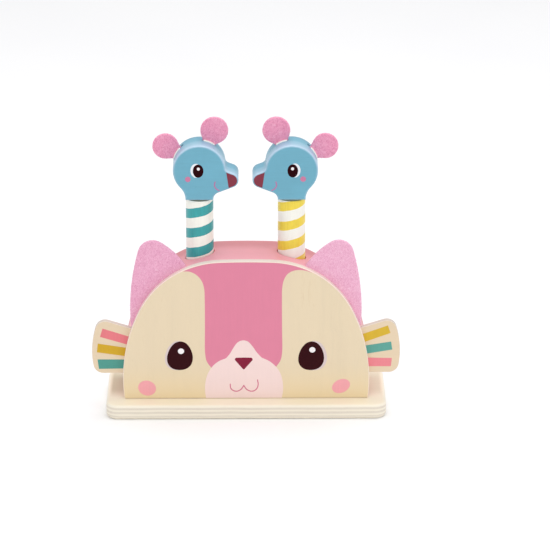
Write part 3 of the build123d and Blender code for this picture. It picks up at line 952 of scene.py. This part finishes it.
# between the patches the band follows the arch's top
first_x, last_x = left_patch[0][0] + 1, right_patch[-1][0] - 1
top_run = [(x, y) for x, y in arch_outline(PRINT_MARGIN) if y > 60 and first_x < x < last_x]
band_outline = joined(right_patch, sorted(top_run, key=lambda p: -p[0]), left_patch)
muzzle_outline = joined(
    spline([(28.6, 0.7), (29.4, 6.0), (29.5, 12.0), (27.6, 21.2), (24.0, 27.3), (19.0, 32.0), (12.4, 35.4)]),
    spline([
        (12.4, 35.4), (8.6, 39.8), (5.2, 45.0), (1.6, 49.1), (-2.2, 50.2), (-6.2, 48.9), (-9.6, 44.6),
        (-12.8, 39.0), (-15.9, 35.0),
    ]),
    spline([
        (-15.9, 35.0), (-22.4, 32.0), (-27.6, 27.0), (-31.2, 20.2), (-32.9, 11.7), (-32.9, 6.0), (-32.2, 0.7)
    ]),
)
nose_outline = rounded([(6.9, 35.3), (-1.8, 35.5), (-10.6, 35.3), (-1.9, 24.8)], [1.5, 0.3, 1.5, 0.8])
MOUTH_LEFT = [(-12.8, 12.6), (-12.3, 8.9), (-9.9, 6.8), (-7.0, 6.5), (-4.0, 8.2), (-1.9, 11.4)]
MOUTH_RIGHT = [(-1.9, 11.4), (0.2, 8.2), (3.2, 6.5), (6.2, 6.7), (8.6, 8.8), (9.6, 12.2), (9.1, 16.1)]
MOUTH_WIDTH = 0.85
# half an eye, from its top to its bottom
EYE = [
    (0, 49.5), (4.1, 48.2), (7.0, 45.2), (9.0, 41.4), (10.1, 37.3), (10.25, 34.2), (9.7, 31.1), (8.1, 28.2),
    (5.1, 25.9), (0, 24.9),
]
EYE_MIDDLE = 36.0


def egg(middle, lean, dx=0.0, dy=0.0, grow=1.0):
    """An eye: pointed a little at its top, which leans to one side."""
    half = [(x * grow, EYE_MIDDLE + (y - EYE_MIDDLE) * grow) for x, y in EYE]
    ring = half + [(-x, y) for x, y in reversed(half[1:-1])]
    points = [(middle + x + lean * (y - EYE_MIDDLE) + dx, y + dy) for x, y in ring]
    return spline(points, closed=True)[::-1]


face_shapes = [
    ("rose", band_outline),
    ("blush", muzzle_outline),
    ("wine", nose_outline),
    ("mouth", ribbon(spline(MOUTH_LEFT, step=0.3), MOUTH_WIDTH)),
    ("mouth", ribbon(spline(MOUTH_RIGHT, step=0.3), MOUTH_WIDTH)),
    ("grey_rose", egg(-52.8, 0.03, -1.5, 0.1, 1.02)),
    ("grey_rose", egg(52.0, 0.04, 2.1, -0.3, 1.03)),
    ("dark", egg(-52.8, 0.03)),
    ("dark", egg(52.0, 0.04, 0.0, -0.4)),
    ("white", ellipse(-51.9, 41.1, 2.45, 2.35)),
    ("white", ellipse(52.9, 41.9, 2.45, 2.35)),
    ("cheek", ellipse(-79.4, 9.4, 7.1, 6.4, lean=-0.08)),
    ("cheek", ellipse(76.0, 10.6, 7.2, 5.9, lean=0.2)),
]
place_piece(print_stack("face_print", face_shapes, upright(), PANEL_FRONT, -1), "toy_body", "birch_plywood")

# --- whisker plates and their print
STRIPES = {
    "left": [
        ("coral", [(-114.5, 58.4), (-92.6, 51.1), (-94.3, 44.4), (-116.6, 51.2)]),
        ("mustard", [(-118.5, 45.5), (-95.0, 41.7), (-96.4, 34.6), (-119.3, 38.0)]),
        ("teal", [(-118.9, 31.9), (-96.9, 31.7), (-97.8, 24.0), (-117.9, 23.7)]),
    ],
    "right": [
        # paler copies of the left inks, painted light from the right
        ("right_lit_mustard", [(92.4, 52.7), (113.3, 60.2), (115.4, 53.7), (94.5, 46.0)]),
        ("right_lit_teal", [(95.4, 43.1), (116.0, 46.4), (117.0, 39.5), (96.2, 36.0)]),
        ("right_lit_coral", [(97.1, 32.6), (116.8, 32.2), (116.0, 25.1), (98.0, 25.2)]),
    ],
}
whisker_depths = (WHISKER_FRONT, PANEL_BACK + WHISKER["deep"])
for side_name, side in SIDES.items():
    plate = slab(
        f"{side_name}_whisker_board", whisker_outline(), upright(side), whisker_depths, [WHISKER_ROUND] * 2,
        [whisker_birch], 4,
    )
    place_piece(plate, "toy_body", "birch_plywood", f"{side_name}_whisker_plate")
    stripes = [(ink_name, rounded(corners, [0.25] * 4, 0.1)) for ink_name, corners in STRIPES[side_name]]
    stripe_print = print_stack(f"{side_name}_whisker_print", stripes, upright(), WHISKER_FRONT, -1)
    place_piece(stripe_print, "toy_body", "birch_plywood")


# --- felt
def felt_piece(name, outline, place, depths, material, voxel, ripple, fibres, fibre_length):
    """A matted felt shape: soft cut edges, an uneven surface and loose fibres."""
    bm = bmesh.new()
    slab_mesh(bm, outline, place, depths, [FELT_ROUND] * 2, 4)
    obj = to_object(name, bm, [material], weighted=False)
    remesh = obj.modifiers.new("remesh", "REMESH")
    remesh.mode, remesh.voxel_size, remesh.use_smooth_shade = "VOXEL", voxel * MM, True
    bm = applied(obj)
    for _ in range(2):
        bmesh.ops.smooth_vert(
            bm, verts=bm.verts, factor=0.5, use_axis_x=True, use_axis_y=True, use_axis_z=True
        )
    bm.normal_update()
    moves = []
    for vertex in bm.verts:
        where = vertex.co / MM
        lift = sum(height * noise.noise(where * rate) for height, rate in FELT_WAVES)
        moves.append(vertex.normal * lift * ripple * MM)
    for vertex, move in zip(bm.verts, moves):
        vertex.co += move
    add_fibres(bm, fibres, fibre_length)
    for face in bm.faces:
        face.smooth = True
    replace_mesh(obj, bm)
    return obj


def add_fibres(bm, count, length):
    """Short curled fibres that lie almost flat on the surface and start inside it."""
    faces = list(bm.faces)
    areas = [face.calc_area() for face in faces]
    for face in random.choices(faces, weights=areas, k=count):
        normal = face.normal.copy()
        start = face.calc_center_median() - normal * 0.1 * MM
        flat = normal.orthogonal().normalized()
        flat.rotate(Matrix.Rotation(random.uniform(0, 2 * pi), 3, normal))
        side_way = normal.cross(flat)
        size = random.uniform(0.5, 1.0) * length * MM
        lean, bend = random.uniform(0.12, 0.42), random.uniform(-0.5, 0.5)
        path = []
        for t in (0.0, 0.35, 0.7, 1.0):
            rise = normal * size * lean * sin(pi * t * 0.7)
            path.append(start + flat * size * t + side_way * size * bend * t * t + rise)
        thin = random.uniform(0.022, 0.04) * MM
        tube_mesh(bm, path, [thin, thin, thin * 0.8, thin * 0.35], 3)


for side_name, side in SIDES.items():
    ear = felt_piece(
        f"{side_name}_cat_ear_felt", cat_ear_outline(), upright(side), (EAR_FRONT, PANEL_BACK + EAR_DEEP),
        cat_felt if side < 0 else right_lit_cat_felt, **CAT_FELT,
    )
    place_piece(ear, "toy_body", "pink_felt", f"{side_name}_cat_ear")


# --- springs
def coil_rise(turn):
    """The wire's rise: each end's closed turn climbs one wire, the active ones share the rest."""
    shared = SPRING_HEIGHT - 3 * SPRING_WIRE
    if turn <= 1:
        return SPRING_WIRE * turn
    if turn >= SPRING_ACTIVE + 1:
        return shared + SPRING_WIRE * (turn - SPRING_ACTIVE)
    return SPRING_WIRE + shared * (turn - 1) / SPRING_ACTIVE


for side_name, side in SIDES.items():
    path = []
    for k in range((SPRING_ACTIVE + 2) * SPRING_POINTS_PER_TURN + 1):
        turn = k / SPRING_POINTS_PER_TURN
        a = 2 * pi * turn
        middle = Vector((side * BORE_X, BORE_Y, BASE[2] + SPRING_WIRE / 2 + coil_rise(turn)))
        path.append((middle + Vector((SPRING_RADIUS * cos(a), SPRING_RADIUS * sin(a), 0))) * MM)
    bm = bmesh.new()
    tube_mesh(bm, path, [SPRING_WIRE / 2 * MM] * len(path), SPRING_SIDES)
    spring = to_object(f"{side_name}_coil_spring", bm, [spring_steel], SPRING_SHARP_ANGLE, weighted=False)
    place_piece(spring, f"{side_name}_spring_unit", "spring_steel", f"{side_name}_spring")
    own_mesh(spring)

# --- mice
MOUSE_MOUTH = [(12.55, -9.3), (12.1, -10.8), (12.1, -12.4), (12.8, -14.0), (14.0, -15.3), (15.7, -16.2)]
NOSE_EDGE = ((21.26, -1.69), (22.93, -13.8))
NOSE_MARGIN, NOSE_MIDDLE = 1.1, 20.5


def nose_patch():
    """The snout's tip beyond a slanting line, inside the head's rounded edge."""
    (start_u, start_v), way = NOSE_EDGE[0], heading(*NOSE_EDGE)
    tip = [
        (u, v) for u, v in inset(head_outline(), NOSE_MARGIN)
        if u > 15 and (u - start_u) * way[1] - (v - start_v) * way[0] < -0.02
    ]
    return sorted(tip, key=lambda p: atan2(p[1] + SNOUT_DROP, p[0] - NOSE_MIDDLE))


def glue_bead_outline(angle):
    """The squeezed-out glue along an ear's foot: a low arc on the head's edge."""
    half = GLUE_BEAD["half_angle"]
    return ribbon(arc((0, 0), HEAD_RADIUS, angle - half, angle + half, 0.8), GLUE_BEAD["width"])


def ear_slot_outline(angle):
    """The slot in the head for an ear's stem, out to beyond the head's edge."""
    start, end = HEAD_RADIUS - MOUSE_EAR["slot"], HEAD_RADIUS + EAR_SLOT["beyond"]
    half = MOUSE_EAR["stem"] / 2 + EAR_SLOT["play"]
    longer = half + (EAR_SLOT["rear_longer"] if angle > 90 else 0.0)
    return turned([(start, -longer), (end, -longer), (end, half), (start, half)], angle)


MOUSE_FACE = [
    ("mouse_white", ellipse(-2.5, 0.25, 4.3, 5.8)),
    ("mouse_dark", ellipse(-0.73, -0.07, 4.18, 5.45)),
    ("white", ellipse(-0.56, 1.64, 1.2, 1.25, 28)),
    ("mouse_pink", ellipse(-8.9, -6.9, 2.2, 2.25, 36)),
    ("mouse_mouth", ribbon(spline(MOUSE_MOUTH, step=0.3), 1.0)),
    ("mouse_nose", nose_patch()),
]
peg_profile = [(PEG_RADIUS - PEG_CHAMFER, PEG_BOTTOM, 0)]
for a in [radians(15 * i) for i in range(1, 7)]:
    inward, up = PEG_CHAMFER - PEG_CHAMFER * sin(a), PEG_CHAMFER - PEG_CHAMFER * cos(a)
    peg_profile.append((PEG_RADIUS - inward, PEG_BOTTOM + up, sin(2 * a)))
peg_profile += [(PEG_RADIUS - inward, NECK_Z + up, rim) for inward, up, rim in NECK_RING]
ear_near = MOUSE_EAR["back"] - MOUSE_EAR["thick"] / 2
ear_depths = (ear_near, ear_near + MOUSE_EAR["thick"])
slot_depths = (MOUSE_EAR["back"] - EAR_SLOT["half_deep"], MOUSE_EAR["back"] + EAR_SLOT["half_deep"])
bead_depths = (ear_near - GLUE_BEAD["before"], ear_near + GLUE_BEAD["behind"])

for side_name, side in SIDES.items():
    body, centre, place = f"{side_name}_mouse", (side * BORE_X, BORE_Y), head_place(side)

    head = slab(
        f"{body}_blue_head", head_outline(), place, (-HEAD_HALF, HEAD_HALF), [HEAD_ROUND] * 2, [mouse_blue], 7
    )
    slots = bmesh.new()
    for angle, _ in MOUSE_EARS.values():
        slab_mesh(slots, ear_slot_outline(angle), place, slot_depths)
    cut(head, slots)
    place_piece(head, body, "blue_painted_wood", f"{body}_head")

    for face_side, outward in (("front", -1), ("back", 1)):
        drawn = print_stack(f"{body}_{face_side}_print", MOUSE_FACE, place, outward * HEAD_HALF, outward)
        place_piece(drawn, body, "blue_painted_wood")

    bm = bmesh.new()
    lathe_mesh(bm, peg_profile, centre, FLATS["peg"])
    peg = to_object(f"{body}_striped_peg", bm, [teal_stripes if side < 0 else yellow_stripes, neck_shadow])
    socket = bmesh.new()
    socket_profile = [(PIN_SOCKET["radius"], NECK_Z - PIN_SOCKET["deep"]), (PIN_SOCKET["radius"], NECK_Z + 1)]
    lathe_mesh(socket, socket_profile, centre, FLATS["socket"])
    # only the ring's own wall and the peg's upper end are above NECK_Z - 1.5, and they take the painted
    # shadow
    cut(peg, socket, lambda middle, normal: 1 if middle.z > NECK_Z - 1.5 else None)
    place_piece(peg, body, "white_painted_wood", f"{body}_peg")

    for ear_name, (angle, radius) in MOUSE_EARS.items():
        ear = felt_piece(
            f"{body}_{ear_name}_felt", mouse_ear_outline(angle, radius), place, ear_depths, mouse_felt,
            **MOUSE_FELT,
        )
        place_piece(ear, body, "pink_felt", f"{body}_{ear_name}")
        bead = slab(
            f"{body}_{ear_name}_glue_bead", glue_bead_outline(angle), place, bead_depths,
            (GLUE_BEAD["round"], 0.0), [glue],
        )
        place_piece(bead, body, "beech_dowel")
    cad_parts[f"{body}_pin"].data.materials.clear()
    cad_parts[f"{body}_pin"].data.materials.append(beech)

# --- screws
bm = bmesh.new()
recess = bmesh.new()
cross = [point for quarter in range(4) for point in turned(SCREW_ARM, 90 * quarter)]
for x, y in SCREW_PLACES:
    lathe_mesh(bm, SCREW, (x, y), FLATS["screw"])
    slab_mesh(recess, [(x + u, y + v) for u, v in cross], lying, (-0.5, 2.0))
screws = to_object("base_screws_zinc", bm, [zinc], SCREW_SHARP_ANGLE)
cut(screws, recess, sharp=SCREW_SHARP_ANGLE)
place_piece(screws, "toy_body", "zinc_steel", "base_screws")

# --- floor, light and camera
FLOOR_REACH = 6.0
paper = Surface("floor_paper")
tint = paper.spread(paper.noise(paper.place, 3.0, 2.0), 0.3, 0.7)
paper.shader.inputs["Emission Color"].default_value = (1.0, 1.0, 1.0, 1.0)
paper.shader.inputs["Emission Strength"].default_value = 0.03
paper.finish(paper.mix(tint, linear(248, 248, 250), linear(251, 251, 252)), 0.9)
floor_bm = bmesh.new()
corners = [(x * FLOOR_REACH, y * FLOOR_REACH, 0) for x, y in ((-1, -1), (1, -1), (1, 1), (-1, 1))]
floor_bm.faces.new([floor_bm.verts.new(corner) for corner in corners])
floor = to_object("studio_floor", floor_bm, [paper.material], weighted=False)

MIDDLE = (0.0, 0.0, 0.1)
CAMERA_PLACE, CAMERA_AIM = (0.0, -2.4191, 1.0129), (0.02333, 0.0, 0.10839)
# name, place, size in metres, watts and colour
LIGHTS = [
    ("key", (-0.8, -1.5, 1.7), 1.4, 6.0, (1.0, 0.985, 0.965)),
    ("fill", (1.3, -1.1, 0.9), 1.5, 4.1, (0.98, 0.99, 1.0)),
    ("top", (0.1, 0.3, 2.0), 1.8, 19.0, (1.0, 1.0, 1.0)),
]


def aimed(name, data, place, target):
    """A light or a camera at that place that looks at the target."""
    obj = bpy.data.objects.new(name, data)
    scene.collection.objects.link(obj)
    obj.location = place
    obj.rotation_euler = (Vector(target) - Vector(place)).to_track_quat("-Z", "Y").to_euler()
    return obj


for name, place, size, energy, colour in LIGHTS:
    light = bpy.data.lights.new(name, "AREA")
    light.shape, light.size, light.energy, light.color = "DISK", size, energy, colour
    aimed(name, light, place, MIDDLE)

world = bpy.data.worlds.new("studio")
world.use_nodes = True
world.node_tree.nodes["Background"].inputs["Color"].default_value = (1.0, 1.0, 1.0, 1.0)
world.node_tree.nodes["Background"].inputs["Strength"].default_value = 0.64
scene.world = world
scene.view_settings.view_transform = "Standard"
scene.view_settings.look = "None"

camera_data = bpy.data.cameras.new("camera")
camera_data.sensor_width = 36.0
camera_data.lens = 211.5
scene.camera = aimed("camera", camera_data, CAMERA_PLACE, CAMERA_AIM)
